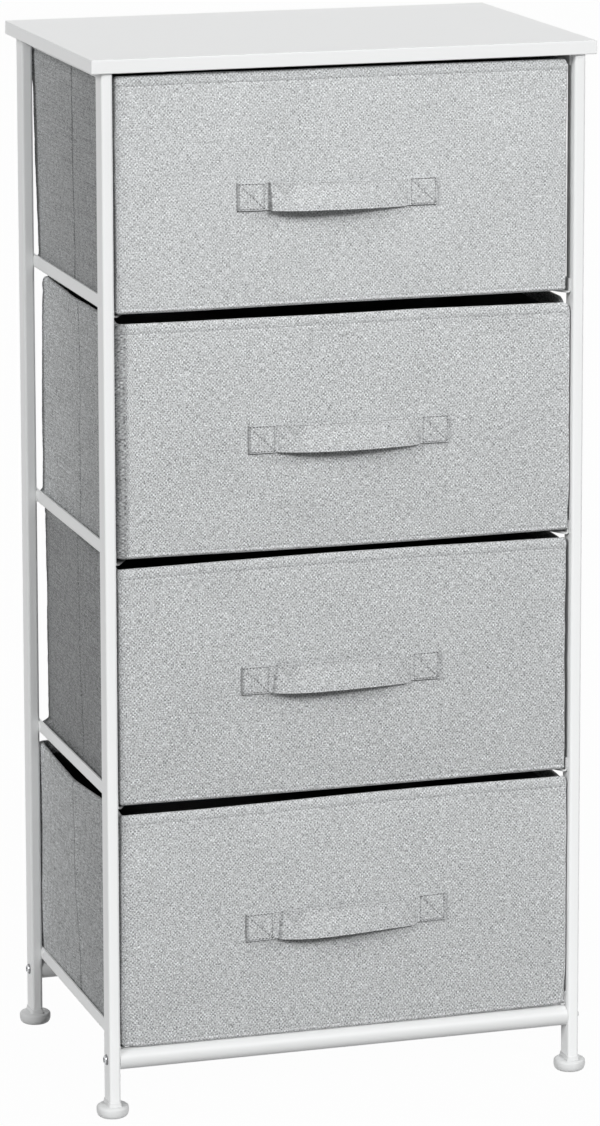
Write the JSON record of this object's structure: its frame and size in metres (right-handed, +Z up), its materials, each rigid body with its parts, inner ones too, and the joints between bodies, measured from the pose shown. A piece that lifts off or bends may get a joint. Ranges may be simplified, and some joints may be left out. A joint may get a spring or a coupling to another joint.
{
  "type": "fabric drawer tower",
  "caption": "Tall narrow storage tower: welded steel frame, laminated top and sewn fabric bins with strap handles that slide on angle rails.",
  "frame": {"origin": "on the floor, under the middle of the top", "axes": "+X to the right seen from the front, +Y to the back, +Z up"},
  "size_m": [0.4504, 0.3024, 0.925],
  "materials": {
    "white_laminate": "white melamine laminate on chipboard, satin",
    "white_powder_coat": "white powder coat, satin",
    "zinc_steel": "bright zinc plate",
    "white_plastic": "moulded, matte",
    "grey_linen_weave": "heathered linen-look weave, light grey",
    "grey_linen_strap": "doubled linen-look strap, stitched ends",
    "black_nonwoven": "black non-woven lining",
    "fibreboard": "brown fibreboard",
    "base_fibreboard": "fibreboard in black non-woven"
  },
  "bodies": {
    "frame": {"top_board": "white_laminate", "top_screws": "zinc_steel", "top_rail_left": "white_powder_coat", "top_rail_right": "white_powder_coat", "post_front_left": "white_powder_coat", "post_front_right": "white_powder_coat", "post_rear_left": "white_powder_coat", "post_rear_right": "white_powder_coat", "glides": "white_plastic", "drawer_rail_left_1": "white_powder_coat", "drawer_rail_left_2": "white_powder_coat", "drawer_rail_left_3": "white_powder_coat", "drawer_rail_left_4": "white_powder_coat", "drawer_rail_right_1": "white_powder_coat", "drawer_rail_right_2": "white_powder_coat", "drawer_rail_right_3": "white_powder_coat", "drawer_rail_right_4": "white_powder_coat", "crossbar_front": "white_powder_coat", "crossbar_rear": "white_powder_coat", "crossbar_inserts": "zinc_steel", "crossbar_screws": "zinc_steel"},
    "drawer_1": {"drawer_1_cover": "grey_linen_weave", "drawer_1_lining": "black_nonwoven", "drawer_1_front_stiffener": "fibreboard", "drawer_1_back_stiffener": "fibreboard", "drawer_1_side_stiffeners": "fibreboard", "drawer_1_base_board": "base_fibreboard", "drawer_1_strap_handle": "grey_linen_strap"},
    "drawer_2": {"drawer_2_cover": "grey_linen_weave", "drawer_2_lining": "black_nonwoven", "drawer_2_front_stiffener": "fibreboard", "drawer_2_back_stiffener": "fibreboard", "drawer_2_side_stiffeners": "fibreboard", "drawer_2_base_board": "base_fibreboard", "drawer_2_strap_handle": "grey_linen_strap"},
    "drawer_3": {"drawer_3_cover": "grey_linen_weave", "drawer_3_lining": "black_nonwoven", "drawer_3_front_stiffener": "fibreboard", "drawer_3_back_stiffener": "fibreboard", "drawer_3_side_stiffeners": "fibreboard", "drawer_3_base_board": "base_fibreboard", "drawer_3_strap_handle": "grey_linen_strap"},
    "drawer_4": {"drawer_4_cover": "grey_linen_weave", "drawer_4_lining": "black_nonwoven", "drawer_4_front_stiffener": "fibreboard", "drawer_4_back_stiffener": "fibreboard", "drawer_4_side_stiffeners": "fibreboard", "drawer_4_base_board": "base_fibreboard", "drawer_4_strap_handle": "grey_linen_strap"}
  },
  "joints": [
    {"name": "drawer_1_slide", "type": "slide", "parent": "frame", "child": "drawer_1", "axis": [0, -1, 0], "range_m": [0, 0.2]},
    {"name": "drawer_2_slide", "type": "slide", "parent": "frame", "child": "drawer_2", "axis": [0, -1, 0], "range_m": [0, 0.2]},
    {"name": "drawer_3_slide", "type": "slide", "parent": "frame", "child": "drawer_3", "axis": [0, -1, 0], "range_m": [0, 0.2]},
    {"name": "drawer_4_slide", "type": "slide", "parent": "frame", "child": "drawer_4", "axis": [0, -1, 0], "range_m": [0, 0.2]}
  ]
}
